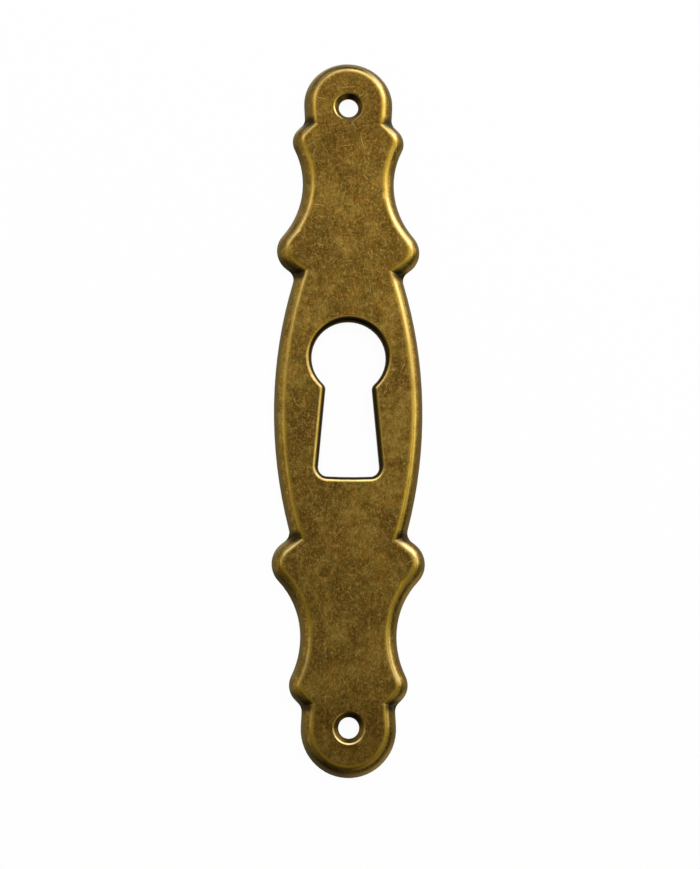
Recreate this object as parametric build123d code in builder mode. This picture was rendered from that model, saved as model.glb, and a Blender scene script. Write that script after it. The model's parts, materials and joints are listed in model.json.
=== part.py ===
from build123d import *
from math import atan2, cos, radians, sin
import os

# Keyhole escutcheon pressed from one brass sheet, hollow behind.
# It lies on its back rim: Z is up out of the front, Y runs along its length.

# Sheet and section
plate_length = 100.0
plate_height = 1.4
sheet_thickness = 0.9
wall_slope = 60.0
inside_bend = 0.9

# Heads at the two ends
head_radius = 6.3
head_side_lean = 3.0

# Steps down the length, from an end towards the middle
shoulder_below_end = 12.0
waist_below_shoulder = 6.3
cusp_below_waist = 9.8
notch_below_cusp = 3.65

# Half width at the waist, and how far shoulders and cusps step out from it
waist_half_width = 6.43
shoulder_step = 1.45
upper_cusp_step = 3.55
lower_cusp_step = 3.9
shoulder_bend = 2.7
shoulder_flank_angle = 45.0
cusp_bend = 3.4
cusp_flank_angle = 52.0

# Fill that rounds the rim in the notches
notch_round = 1.5
notch_fill_slope = 40.0
notch_fill_height = 0.6

# Oval middle
oval_half_width = 10.2
oval_widest_y = -1.2

# How far the raised pads run on into one another, and how round they end there
overlap_length = 5.0
overlap_round = 3.0

# Keyhole
keyhole_radius = 5.1
keyhole_centre_y = 6.45
slot_neck_half_width = 2.78
slot_end_half_width = 4.25
slot_length = 16.6
slot_end_bow = 0.15
slot_corner_round = 1.25
neck_round = 1.0
keyhole_land = 0.1

# Screw holes
hole_radius = 1.38
countersink_radius = 2.05
countersink_angle = 90.0
countersink_edge_break = 0.12
upper_hole_to_end = 7.0
lower_hole_to_end = 6.45

# Heights and angles that follow from the sizes above, on the upper half
end_y = plate_length / 2
head_y = end_y - head_radius
shoulder_y = end_y - shoulder_below_end
waist_y = shoulder_y - waist_below_shoulder
cusp_y = waist_y - cusp_below_waist
notch_y = cusp_y - notch_below_cusp
draft_angle = 90 - wall_slope
outside_bend = inside_bend + sheet_thickness


def point_on(centre, radius, angle):
    """Point of a circle at an angle in radians."""
    return Vector(centre.X + radius * cos(angle), centre.Y + radius * sin(angle))


def waist_radius(centre, bend):
    """Radius of the hollow that leaves the waist upright and meets a bend."""
    step_in = waist_half_width - centre.X
    rise = waist_y - centre.Y
    return (rise**2 + step_in**2 - bend**2) / (2 * (bend - step_in))


def waist_tangent(centre, bend):
    """Point where the waist's hollow runs into a bend."""
    hollow = Vector(waist_half_width + waist_radius(centre, bend), waist_y)
    return point_on(centre, bend, atan2(hollow.Y - centre.Y, hollow.X - centre.X))


def cusp_flank(cusp_step):
    """Ends of the straight flank that leaves a cusp for its notch, on the upper half."""
    cusp = Vector(waist_half_width + cusp_step - cusp_bend, cusp_y)
    flank_angle = radians(-cusp_flank_angle)
    start = point_on(cusp, cusp_bend, flank_angle)
    run = (start.Y - notch_y) / cos(flank_angle)
    return start, start + Vector(sin(flank_angle), -cos(flank_angle)) * run


def ornament_outline(cusp_step):
    """Outline of the stretch from the shoulders to the cusps, on the upper half."""
    waist = Vector(waist_half_width, waist_y)

    # Shoulder: a round that leans into the head on a straight flank
    shoulder = Vector(waist_half_width + shoulder_step - shoulder_bend, shoulder_y)
    shoulder_start = waist_tangent(shoulder, shoulder_bend)
    flank_angle = radians(shoulder_flank_angle)
    shoulder_end = point_on(shoulder, shoulder_bend, flank_angle)
    upper_end = shoulder_end + Vector(-sin(flank_angle), cos(flank_angle)) * overlap_length

    # Cusp: a round that leans into the oval on a straight flank through the notch
    cusp = Vector(waist_half_width + cusp_step - cusp_bend, cusp_y)
    cusp_start, notch = cusp_flank(cusp_step)
    cusp_end = waist_tangent(cusp, cusp_bend)
    lower_end = notch + (notch - cusp_start).normalized() * overlap_length

    with BuildSketch() as outline:
        with BuildLine():
            Polyline((0, lower_end.Y), lower_end, cusp_start)
            RadiusArc(cusp_start, cusp_end, -cusp_bend)
            RadiusArc(cusp_end, waist, waist_radius(cusp, cusp_bend))
            RadiusArc(waist, shoulder_start, waist_radius(shoulder, shoulder_bend))
            RadiusArc(shoulder_start, shoulder_end, -shoulder_bend)
            Polyline(shoulder_end, upper_end, (0, upper_end.Y))
            mirror(about=Plane.YZ)
        make_face()
        fillet(outline.vertices().group_by(Axis.Y)[0], overlap_round)
        fillet(outline.vertices().group_by(Axis.Y)[-1], overlap_round)
    return outline.sketch


def head_outline():
    """Outline of the round head, its sides leaning in on their way down to the shoulders."""
    lean = radians(head_side_lean)
    side_start = point_on(Vector(0, head_y), head_radius, -lean)
    side_drop = side_start.Y - shoulder_y
    side_end = side_start - Vector(sin(lean), cos(lean)) * (side_drop / cos(lean))
    with BuildSketch() as outline:
        with BuildLine():
            Polyline((0, shoulder_y), side_end, side_start)
            RadiusArc(side_start, (0, end_y), -head_radius)
            mirror(about=Plane.YZ)
        make_face()
        fillet(outline.vertices().group_by(Axis.Y)[0], overlap_round)
    return outline.sketch


def oval_outline():
    """Outline of the oval middle, run on straight into both ornaments."""
    upper_notch = cusp_flank(upper_cusp_step)[1]
    lower_notch = Vector(cusp_flank(lower_cusp_step)[1].X, -notch_y)
    with BuildSketch() as outline:
        with BuildLine():
            bow = ThreePointArc(lower_notch, (oval_half_width, oval_widest_y), upper_notch)
            upper_end = upper_notch + (bow % 1) * overlap_length
            lower_end = lower_notch - (bow % 0) * overlap_length
            Polyline(upper_notch, upper_end, (0, upper_end.Y))
            Polyline((0, lower_end.Y), lower_end, lower_notch)
            mirror(about=Plane.YZ)
        make_face()
        fillet(outline.vertices().group_by(Axis.Y)[0], overlap_round)
        fillet(outline.vertices().group_by(Axis.Y)[-1], overlap_round)
    return outline.sketch


def pad(outline, base, top, bend):
    """Raised pad with sloping walls and a rounded front edge."""
    base_plane = Plane.XY.offset(base)
    with BuildPart() as raised:
        with BuildSketch(base_plane):
            add(outline)
        extrude(amount=top - base)
        draft(raised.faces().filter_by(Axis.Z, reverse=True), base_plane, draft_angle)
        fillet(raised.faces().sort_by(Axis.Z)[-1].edges(), bend)
    return raised.part


# The front is five pads that run into one another, with sharp valleys at the notches
upper_head = head_outline()
outlines = [
    upper_head,
    ornament_outline(upper_cusp_step),
    oval_outline(),
    mirror(ornament_outline(lower_cusp_step), about=Plane.XZ),
    mirror(upper_head, about=Plane.XZ),
]
fronts = [pad(outline, 0, plate_height, outside_bend) for outline in outlines]

# The hollow behind is the same pads, dropped until the sheet is as thick in the walls as on top
hollow_base = -sheet_thickness / cos(radians(wall_slope))
hollow_top = plate_height - sheet_thickness
hollows = [pad(outline, hollow_base, hollow_top, inside_bend) for outline in outlines]

# Low fill that rounds the rim in the notches and dies out up their valleys
with BuildPart() as notch_fill:
    with BuildSketch():
        add(outlines)
        offset(amount=notch_round)
        offset(amount=-notch_round)
    extrude(amount=notch_fill_height)
    draft(notch_fill.faces().filter_by(Axis.Z, reverse=True), Plane.XY, 90 - notch_fill_slope)

with BuildPart() as plate:
    add(fronts)
    add(notch_fill.part)
    add(hollows, mode=Mode.SUBTRACT)

    # Keyhole: a round over a flared slot, its lip rolled in down to a narrow land
    slot_end_y = keyhole_centre_y - slot_length
    slot_corner_y = slot_end_y + slot_end_bow
    slot_left = Vector(-slot_end_half_width, slot_corner_y)
    slot_right = Vector(slot_end_half_width, slot_corner_y)
    with BuildSketch() as keyhole:
        with Locations((0, keyhole_centre_y)):
            Circle(keyhole_radius)
        with BuildLine():
            ThreePointArc(slot_left, (0, slot_end_y), slot_right)
            Polyline(
                slot_right,
                (slot_neck_half_width, keyhole_centre_y),
                (-slot_neck_half_width, keyhole_centre_y),
                slot_left,
            )
        make_face()
        fillet(keyhole.vertices().group_by(Axis.Y)[0], slot_corner_round)
        fillet(keyhole.vertices().group_by(Axis.Y)[-1], neck_round)
    extrude(amount=plate_height, mode=Mode.SUBTRACT)
    fillet(plate.edges(Select.LAST).group_by(Axis.Z)[-1], sheet_thickness - keyhole_land)

    # Countersunk screw holes, one in each head, with their edges broken
    upper_hole = (0, end_y - upper_hole_to_end, plate_height)
    lower_hole = (0, lower_hole_to_end - end_y, plate_height)
    with Locations(upper_hole, lower_hole):
        CounterSinkHole(hole_radius, countersink_radius, plate_height, countersink_angle)
    chamfer(plate.edges(Select.LAST).group_by(Axis.Z)[-1], countersink_edge_break)

plate.part.label = "escutcheon_plate"
os.makedirs("parts", exist_ok=True)
export_step(plate.part, "parts/escutcheon_plate.step")
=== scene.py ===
import bpy
import json
import math
from types import SimpleNamespace
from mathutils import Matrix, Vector

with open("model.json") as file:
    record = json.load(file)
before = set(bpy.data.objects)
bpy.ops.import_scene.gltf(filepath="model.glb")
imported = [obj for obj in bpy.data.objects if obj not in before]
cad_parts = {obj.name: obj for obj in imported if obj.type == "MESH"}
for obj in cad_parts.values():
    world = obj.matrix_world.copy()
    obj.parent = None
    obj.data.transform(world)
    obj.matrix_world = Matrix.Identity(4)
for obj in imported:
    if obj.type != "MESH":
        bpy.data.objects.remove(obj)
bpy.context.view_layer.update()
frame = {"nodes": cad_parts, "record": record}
plate = frame["nodes"]["escutcheon_plate"]
scene = bpy.context.scene

# Places and sizes on the plate, in millimetres
mm_per_metre = 1000.0
keyhole_oval_half_width = 7.0
keyhole_oval_half_height = 13.0
countersink_height = 1.0
countersink_reach = 2.6
countersink_fade = 0.3
lower_end_starts = -37.0
lower_end_full = -44.0
upper_end_starts = 22.0
upper_end_full = 45.0
valley_places = ((7.1, 18.4), (5.9, 40.7))
valley_reach = 1.5
valley_core = 0.4
relief_depth = 0.004

# The record says where the screw holes are
mounts = {mount["name"]: mount for mount in frame["record"]["mounts"]}
holes_middle = mounts["screw_holes"]["pos_m"][1] * mm_per_metre
holes_apart = mounts["screw_holes"]["dims"]["spacing_y_mm"]
hole_places = [
    (0.0, holes_middle + holes_apart / 2, countersink_height),
    (0.0, holes_middle - holes_apart / 2, countersink_height),
]

# Studio, in metres, with the photograph's size and focal length in pixels
floor_size = 12.0
tent_radius = 1.0
tent_fill = 0.07
photo_height_px = 869
focal_length_px = 1514
sensor_mm = 36


def srgb(red, green, blue):
    """Linear colour of an sRGB colour given from 0 to 255."""
    def linear(level):
        level = level / 255
        return level / 12.92 if level <= 0.04045 else ((level + 0.055) / 1.055) ** 2.4
    return (linear(red), linear(green), linear(blue), 1.0)


# Node helpers

def put(tree, kind, **settings):
    """New node with its settings."""
    made = tree.nodes.new(kind)
    for name, value in settings.items():
        setattr(made, name, value)
    return made


def feed(tree, socket, source):
    """Links a socket to another one, or sets it to a plain value."""
    if isinstance(source, bpy.types.NodeSocket):
        tree.links.new(source, socket)
    else:
        socket.default_value = source


def sums(tree, operation, first, second=0.0, clamp=False):
    """Result of a math node."""
    made = put(tree, "ShaderNodeMath", operation=operation, use_clamp=clamp)
    feed(tree, made.inputs[0], first)
    feed(tree, made.inputs[1], second)
    return made.outputs[0]


def times(tree, first, *others):
    """Product of two or more values."""
    for other in others:
        first = sums(tree, "MULTIPLY", first, other)
    return first


def larger(tree, first, second):
    """Larger of two values."""
    return sums(tree, "MAXIMUM", first, second)


def without(tree, mask):
    """What a mask leaves free."""
    return sums(tree, "SUBTRACT", 1.0, mask)


def vectors(tree, operation, first, second=None):
    """Result of a vector math node, a single value for a length, distance or dot product."""
    made = put(tree, "ShaderNodeVectorMath", operation=operation)
    feed(tree, made.inputs[0], first)
    if second is not None:
        feed(tree, made.inputs[1], second)
    single = operation in ("LENGTH", "DISTANCE", "DOT_PRODUCT")
    return made.outputs["Value" if single else "Vector"]


def split(tree, vector):
    """The three parts of a vector."""
    made = put(tree, "ShaderNodeSeparateXYZ")
    feed(tree, made.inputs[0], vector)
    return made.outputs["X"], made.outputs["Y"], made.outputs["Z"]


def fade(tree, value, start, end, low=0.0, high=1.0):
    """Smooth step of a value from low at start to high at end."""
    made = put(tree, "ShaderNodeMapRange", interpolation_type="SMOOTHSTEP")
    feed(tree, made.inputs["Value"], value)
    made.inputs["From Min"].default_value = start
    made.inputs["From Max"].default_value = end
    made.inputs["To Min"].default_value = low
    made.inputs["To Max"].default_value = high
    return made.outputs["Result"]


def tint(tree, share, under, over, blend_type="MIX"):
    """Colour over another colour by a share."""
    made = put(tree, "ShaderNodeMix", data_type="RGBA", blend_type=blend_type)
    feed(tree, made.inputs[0], share)
    feed(tree, made.inputs[6], under)
    feed(tree, made.inputs[7], over)
    return made.outputs[2]


def cloud(tree, place, scale, detail, roughness):
    """Soft random values, with scale in patches per millimetre."""
    made = put(tree, "ShaderNodeTexNoise")
    feed(tree, made.inputs["Vector"], place)
    made.inputs["Scale"].default_value = scale
    made.inputs["Detail"].default_value = detail
    made.inputs["Roughness"].default_value = roughness
    return made.outputs["Fac"]


def short_scratches():
    """Node group: one short straight scratch in each cell, each in a direction of its own."""
    group = bpy.data.node_groups.new("short_scratches", "ShaderNodeTree")
    face = group.interface
    face.new_socket("Place", in_out="INPUT", socket_type="NodeSocketVector")
    for name in ("Cells", "Half Length", "Half Width", "Share"):
        face.new_socket(name, in_out="INPUT", socket_type="NodeSocketFloat")
    face.new_socket("Mask", in_out="OUTPUT", socket_type="NodeSocketFloat")
    given = put(group, "NodeGroupInput").outputs
    result = put(group, "NodeGroupOutput")

    # Each cell draws its scratch's direction, whether it is there, and how strong it is
    cells = put(group, "ShaderNodeTexVoronoi", voronoi_dimensions="2D")
    feed(group, cells.inputs["Vector"], given["Place"])
    feed(group, cells.inputs["Scale"], given["Cells"])
    cells.inputs["Randomness"].default_value = 1.0
    chance = put(group, "ShaderNodeSeparateColor")
    feed(group, chance.inputs[0], cells.outputs["Color"])
    turn = times(group, chance.outputs[0], math.pi)
    kept = sums(group, "LESS_THAN", chance.outputs[1], given["Share"])
    strength = times(group, kept, chance.outputs[2])

    # Distance from the middle of the cell, along the scratch and across it
    turned = put(group, "ShaderNodeVectorRotate", rotation_type="Z_AXIS")
    offset = vectors(group, "SUBTRACT", given["Place"], cells.outputs["Position"])
    feed(group, turned.inputs["Vector"], offset)
    feed(group, turned.inputs["Angle"], turn)
    offset_along, offset_across, _ = split(group, turned.outputs[0])
    along = sums(group, "DIVIDE", sums(group, "ABSOLUTE", offset_along), given["Half Length"])
    across = sums(group, "DIVIDE", sums(group, "ABSOLUTE", offset_across), given["Half Width"])
    line = times(group, fade(group, along, 1.0, 0.3), fade(group, across, 1.0, 0.0))
    feed(group, result.inputs["Mask"], times(group, line, strength))
    return group


# Aged brass

def plate_surface(tree):
    """Place on the plate in millimetres, where its surface faces, and its lean from the front as a sine."""
    spot = put(tree, "ShaderNodeTexCoord")
    place = vectors(tree, "MULTIPLY", spot.outputs["Object"], (mm_per_metre, mm_per_metre, mm_per_metre))
    facing = put(tree, "ShaderNodeNewGeometry").outputs["Normal"]
    right, top, front = split(tree, facing)
    lean = sums(tree, "SQRT", sums(tree, "SUBTRACT", 1.0, times(tree, front, front), clamp=True))
    return SimpleNamespace(place=place, facing=facing, right=right, top=top, front=front, lean=lean)


def brown_patina(tree, on):
    """Colour of the patina and its two finest grains; the colour is darker and browner towards both ends."""
    drawn = vectors(tree, "MULTIPLY", on.place, (1.2, 0.8, 1.0))
    broad = cloud(tree, on.place, 0.09, 1.0, 0.5)
    clouds = cloud(tree, on.place, 0.22, 3.0, 0.6)
    drift = cloud(tree, on.place, 0.6, 2.0, 0.6)
    patch = cloud(tree, on.place, 0.9, 2.0, 0.6)
    grain = cloud(tree, drawn, 2.0, 3.0, 0.7)
    speck = cloud(tree, drawn, 4.6, 2.0, 0.6)

    # A drift between gold and olive, then paler and darker spots from coarse to fine
    colour = tint(tree, fade(tree, drift, 0.34, 0.66), srgb(122, 88, 28), srgb(111, 90, 33))
    for spots, start, end, share, tone in (
        (broad, 0.64, 0.34, 0.50, srgb(84, 61, 19)),
        (clouds, 0.54, 0.36, 0.60, srgb(84, 60, 18)),
        (clouds, 0.50, 0.68, 0.60, srgb(138, 110, 46)),
        (patch, 0.52, 0.74, 0.42, srgb(146, 117, 52)),
        (patch, 0.52, 0.30, 0.36, srgb(72, 50, 12)),
        (grain, 0.53, 0.74, 0.56, srgb(160, 131, 64)),
        (grain, 0.52, 0.30, 0.44, srgb(72, 51, 11)),
        (speck, 0.53, 0.74, 0.50, srgb(166, 139, 78)),
        (speck, 0.52, 0.30, 0.46, srgb(64, 45, 9)),
    ):
        colour = tint(tree, fade(tree, spots, start, end, 0.0, share), colour, tone)

    # Darker and browner towards both ends
    _, along, _ = split(tree, on.place)
    lower_end = fade(tree, along, lower_end_starts, lower_end_full)
    upper_end = fade(tree, along, upper_end_starts, upper_end_full)
    colour = tint(tree, larger(tree, lower_end, upper_end), colour, (0.73, 0.70, 0.66, 1.0), "MULTIPLY")
    return colour, grain, speck


def hairs(tree, group, place, cells, half_length, half_width, share):
    """Mask of hair scratches in millimetres, with cells per millimetre and the share of them scratched."""
    made = put(tree, "ShaderNodeGroup", node_tree=group)
    feed(tree, made.inputs["Place"], place)
    made.inputs["Cells"].default_value = cells
    made.inputs["Half Length"].default_value = half_length
    made.inputs["Half Width"].default_value = half_width
    made.inputs["Share"].default_value = share
    return made.outputs["Mask"]


def hole_masks(tree, on):
    """Masks of an oval round the keyhole and of rounds at the screw holes."""
    shrink = (1 / keyhole_oval_half_width, 1 / keyhole_oval_half_height, 0.0)
    oval = vectors(tree, "LENGTH", vectors(tree, "MULTIPLY", on.place, shrink))
    keyhole = fade(tree, oval, 1.05, 0.98)
    screws = 0.0
    for hole_place in hole_places:
        gap = vectors(tree, "DISTANCE", on.place, hole_place)
        near = fade(tree, gap, countersink_reach, countersink_reach - countersink_fade)
        screws = larger(tree, near, screws)
    return keyhole, screws


def rubbed_edges(tree, on, worn):
    """Mask of the rolled edges, unevenly rubbed, less far down on the left and further on top."""
    shift = fade(tree, on.right, 0.0, -0.16, 0.0, 0.1)
    shift = sums(tree, "SUBTRACT", shift, fade(tree, on.top, 0.15, 0.4, 0.0, 0.11))
    starts = fade(tree, on.lean, 0.06, 0.24)
    stops = fade(tree, sums(tree, "ADD", on.lean, shift), 0.58, 0.36)
    return times(tree, starts, stops, fade(tree, worn, 0.30, 0.60, 0.65, 1.0))


def walls_painted_light_and_shade(tree, on, colour, keyhole, screws):
    """Walls left dull, with painted light where they face up, painted shade in a darker olive where they
    face right, painted light where they face right and down, painted shade on steep walls underneath, and
    dark patina in the holes.
    """
    # Painted light: walls that face up are paler grey
    dull = tint(tree, fade(tree, on.top, 0.1, 0.7), srgb(90, 76, 38), srgb(126, 113, 70))
    # Painted shade: walls that face right turn a darker olive
    rightward = fade(tree, on.right, 0.15, 0.55)
    dull = tint(tree, rightward, dull, srgb(84, 66, 16))
    # Painted light: walls that face right and down are paler again
    lower_right_painted_light = times(tree, rightward, fade(tree, on.top, -0.15, -0.45))
    dull = tint(tree, lower_right_painted_light, dull, srgb(118, 97, 42))
    dull = tint(tree, keyhole, dull, srgb(58, 44, 16))
    dull = tint(tree, screws, dull, srgb(110, 84, 32))
    sooner = times(tree, larger(tree, keyhole, screws), 0.15)
    wall = fade(tree, sums(tree, "ADD", on.lean, sooner), 0.62, 0.88)
    colour = tint(tree, wall, colour, dull)

    # Painted shade on steep walls that face down and to the left
    steep = fade(tree, on.lean, 0.4, 0.7, 0.0, 0.75)
    under = times(tree, fade(tree, on.top, -0.1, -0.5), steep, fade(tree, on.right, 0.25, -0.2))
    return tint(tree, under, colour, srgb(32, 24, 6))


def hole_lips(tree, on, colour, keyhole, screws, worn, pit):
    """Lips of the holes: a thin bright edge, a painted highlight on the keyhole's lips that face up or to
    the right, and painted shade where they face down or to the left.
    """
    down = vectors(tree, "DOT_PRODUCT", on.facing, (-0.5, -0.85, 0.0))
    edge = times(tree, fade(tree, on.lean, 0.01, 0.07), fade(tree, on.lean, 0.22, 0.10, 0.0, 0.5))
    edge = times(tree, edge, larger(tree, keyhole, screws))
    colour = tint(tree, edge, colour, srgb(168, 140, 66))

    # Painted highlight: a pale gold line on the keyhole's lips that face up or to the right, uneven with
    # wear
    line = times(tree, fade(tree, on.lean, 0.03, 0.13), fade(tree, on.lean, 0.34, 0.2, 0.0, 0.7))
    line = times(tree, line, fade(tree, down, -0.01, -0.09), fade(tree, worn, 0.35, 0.6, 0.5, 1.0))
    colour = tint(tree, times(tree, line, keyhole), colour, srgb(212, 182, 106))
    colour = tint(tree, pit, colour, srgb(38, 28, 8))

    # Painted shade on the lips that face down or to the left
    keyhole_painted_shade = times(tree, fade(tree, down, 0.07, 0.22, 0.0, 0.9), keyhole)
    screw_painted_shade = times(tree, fade(tree, down, 0.1, 0.6, 0.0, 0.7), screws)
    return tint(tree, larger(tree, keyhole_painted_shade, screw_painted_shade), colour, srgb(32, 24, 6))


def valley_painted_shade(tree, on):
    """Mask of painted shade in the valleys between the pads, which run across the plate."""
    squeeze_across = 0.6
    squeeze_along = 1.2
    quarter = vectors(tree, "ABSOLUTE", on.place)
    squeezed = vectors(tree, "MULTIPLY", quarter, (squeeze_across, squeeze_along, 0.0))
    near = 0.0
    for valley_x, valley_y in valley_places:
        valley = (valley_x * squeeze_across, valley_y * squeeze_along, 0.0)
        gap = vectors(tree, "DISTANCE", squeezed, valley)
        near = larger(tree, fade(tree, gap, valley_reach, valley_core), near)
    return times(tree, near, fade(tree, on.lean, 0.12, 0.38, 0.0, 0.88))


def aged_brass():
    """Brown patina with a fine grain, rubbed pale along the rolled edges."""
    material = bpy.data.materials.new("aged_brass")
    material.use_nodes = True
    tree = material.node_tree
    shader = tree.nodes["Principled BSDF"]
    on = plate_surface(tree)
    keyhole, screws = hole_masks(tree, on)
    worn = cloud(tree, on.place, 0.5, 3.0, 0.6)

    # Patina, and hair scratches that show paler brass
    colour, grain, speck = brown_patina(tree, on)
    group = short_scratches()
    coarse_fibres = hairs(tree, group, on.place, 1.7, 0.38, 0.07, 0.8)
    fine_fibres = hairs(tree, group, on.place, 2.6, 0.26, 0.06, 0.8)
    short_hairs = hairs(tree, group, on.place, 0.5, 0.8, 0.06, 0.4)
    long_hairs = hairs(tree, group, on.place, 0.22, 1.5, 0.06, 0.3)
    fibres = larger(tree, coarse_fibres, fine_fibres)
    scratches = larger(tree, short_hairs, long_hairs)
    colour = tint(tree, times(tree, fibres, 0.25), colour, srgb(156, 130, 74))
    colour = tint(tree, times(tree, scratches, 0.75), colour, srgb(176, 150, 92))

    # Rolled edges rubbed paler, but for the steep side of the keyhole's lip
    pit = times(tree, fade(tree, on.lean, 0.3, 0.52, 0.0, 0.85), keyhole)
    rubbed = times(tree, rubbed_edges(tree, on, worn), without(tree, pit))
    bright = tint(tree, fade(tree, on.lean, 0.25, 0.45), srgb(150, 120, 26), srgb(148, 125, 44))
    colour = tint(tree, rubbed, colour, bright)

    # Walls, lips and valleys, with painted light and shade, and the dark patina in the hollow behind
    colour = walls_painted_light_and_shade(tree, on, colour, keyhole, screws)
    colour = hole_lips(tree, on, colour, keyhole, screws, worn, pit)
    # Painted shade in the valleys between the pads
    valley_shade = valley_painted_shade(tree, on)
    colour = tint(tree, valley_shade, colour, srgb(24, 18, 7))
    hollow = tint(tree, grain, srgb(58, 44, 20), srgb(92, 72, 36))
    colour = tint(tree, fade(tree, on.front, -0.05, -0.4), colour, hollow)

    feed(tree, shader.inputs["Base Color"], colour)
    shader.inputs["Metallic"].default_value = 1.0
    shader.inputs["Specular Tint"].default_value = (1.0, 0.94, 0.78, 1.0)
    rough = fade(tree, speck, 0.3, 0.7, 0.30, 0.36)
    rough = sums(tree, "SUBTRACT", rough, times(tree, rubbed, 0.09))
    feed(tree, shader.inputs["Roughness"], rough)

    # Burnished edges shine through a thin film of wax, which is left on the upper ones
    film = times(tree, rubbed, fade(tree, on.top, -0.08, 0.2, 0.1, 1.0))
    # The film is kept out of the valleys' painted shade
    film = times(tree, film, fade(tree, on.lean, 0.14, 0.42, 0.6, 1.0), without(tree, valley_shade))
    feed(tree, shader.inputs["Coat Weight"], film)
    shader.inputs["Coat Roughness"].default_value = 0.17
    shader.inputs["Coat IOR"].default_value = 1.9

    # Fine pits and scratches in relief, polished away on the rubbed edges
    height = sums(tree, "ADD", speck, times(tree, scratches, -0.4))
    height = times(tree, height, without(tree, times(tree, rubbed, 0.8)))
    bump = put(tree, "ShaderNodeBump")
    bump.inputs["Strength"].default_value = 1.0
    bump.inputs["Distance"].default_value = relief_depth / mm_per_metre
    feed(tree, bump.inputs["Height"], height)
    feed(tree, shader.inputs["Normal"], bump.outputs[0])
    return material


plate.data.materials.clear()
plate.data.materials.append(aged_brass())


# Studio

def white_paper():
    """Matt white that the camera and the plate's reflections see as nearly white."""
    material = bpy.data.materials.new("white_paper")
    material.use_nodes = True
    tree = material.node_tree
    tree.nodes.clear()
    matt = put(tree, "ShaderNodeBsdfDiffuse")
    matt.inputs["Color"].default_value = (0.9, 0.9, 0.9, 1.0)
    glow = put(tree, "ShaderNodeEmission")
    glow.inputs["Color"].default_value = (0.99, 0.99, 0.99, 1.0)
    path = put(tree, "ShaderNodeLightPath").outputs
    mirrored = times(tree, larger(tree, path["Is Glossy Ray"], path["Is Transmission Ray"]), 0.4)
    seen = times(tree, path["Is Camera Ray"], 0.95)
    both = put(tree, "ShaderNodeMixShader")
    feed(tree, both.inputs[0], larger(tree, seen, mirrored))
    feed(tree, both.inputs[1], matt.outputs[0])
    feed(tree, both.inputs[2], glow.outputs[0])
    feed(tree, put(tree, "ShaderNodeOutputMaterial").inputs["Surface"], both.outputs[0])
    return material


def white_room():
    """World as white as the floor, seen by the camera and in reflections only."""
    world = bpy.data.worlds.new("white_room")
    world.use_nodes = True
    tree = world.node_tree
    sky = tree.nodes["Background"]
    sky.inputs["Color"].default_value = (0.983, 0.983, 0.983, 1.0)
    path = put(tree, "ShaderNodeLightPath").outputs
    seen = larger(tree, path["Is Camera Ray"], path["Is Glossy Ray"])
    feed(tree, sky.inputs["Strength"], larger(tree, seen, path["Is Transmission Ray"]))
    return world


def from_side(turn, tilt):
    """Direction at a turn about Z from +X and a tilt from straight up, in degrees."""
    turn = math.radians(turn)
    tilt = math.radians(tilt)
    return Vector((math.sin(tilt) * math.cos(turn), math.sin(tilt) * math.sin(turn), math.cos(tilt)))


def tent_cloth(panels):
    """White cloth with soft panels lit in it."""
    material = bpy.data.materials.new("tent_cloth")
    material.use_nodes = True
    tree = material.node_tree
    tree.nodes.clear()
    towards = vectors(tree, "NORMALIZE", put(tree, "ShaderNodeTexCoord").outputs["Object"])
    level = tent_fill
    for turn, tilt, core, edge, strength in panels:
        along = vectors(tree, "DOT_PRODUCT", towards, from_side(turn, tilt))
        soft_edge = math.cos(math.radians(edge))
        bright_core = math.cos(math.radians(core))
        level = sums(tree, "ADD", fade(tree, along, soft_edge, bright_core, 0.0, strength), level)
    glow = put(tree, "ShaderNodeEmission")
    glow.inputs["Color"].default_value = (1.0, 1.0, 1.0, 1.0)
    feed(tree, glow.inputs["Strength"], level)
    feed(tree, put(tree, "ShaderNodeOutputMaterial").inputs["Surface"], glow.outputs[0])
    return material


bpy.ops.mesh.primitive_plane_add(size=floor_size)
floor = bpy.context.object
floor.name = "pale_floor"
floor.data.materials.append(white_paper())

scene.world = white_room()

# Soft panels lit in the tent: turn, tilt, bright core and soft edge in degrees, and level
tent_panels = [
    (86, 46, 6, 19, 2.6),
    (65, 46, 7, 22, 2.4),
    (45, 53, 5, 17, 3.0),
    (28, 44, 2, 9, 2.2),
    (10, 57, 3, 13, 3.2),
    (13, 33, 2, 10, 1.9),
    (50, 26, 3, 15, 0.8),
    (107, 36, 4, 14, 1.8),
    (127, 36, 2, 11, 2.0),
    (38, 79, 3, 38, 3.4),
    (141, 31, 2, 9, 0.5),
    (172, 42, 3, 12, 1.1),
    (165, 38, 9, 41, 0.34),
    (172, 66, 8, 28, 0.25),
    (146, 80, 18, 56, 0.95),
    (7, 27, 4, 23, 0.45),
    (86, 14, 3, 14, 0.46),
    (275, 10, 12, 31, 0.46),
    (334, 46, 8, 34, 0.42),
    (302, 63, 5, 23, 0.6),
    (273, 78, 4, 18, 0.35),
    (203, 70, 8, 33, 0.65),
]

bpy.ops.mesh.primitive_uv_sphere_add(segments=64, ring_count=32, radius=tent_radius)
tent = bpy.context.object
tent.name = "light_tent"
tent.data.materials.append(tent_cloth(tent_panels))
tent.visible_camera = False
tent.visible_shadow = False

# Camera where the photograph was taken from
camera = bpy.data.objects.new("camera", bpy.data.cameras.new("camera"))
scene.collection.objects.link(camera)
camera.data.sensor_width = sensor_mm
camera.data.lens = focal_length_px / photo_height_px * sensor_mm
camera.data.clip_start = 0.01
camera.data.clip_end = 50
camera.location = (-0.01043271, -0.04349644, 0.20301461)
camera.rotation_euler = (math.radians(10.958), math.radians(-3.0), math.radians(-0.0247))
scene.camera = camera
scene.view_settings.view_transform = "Standard"
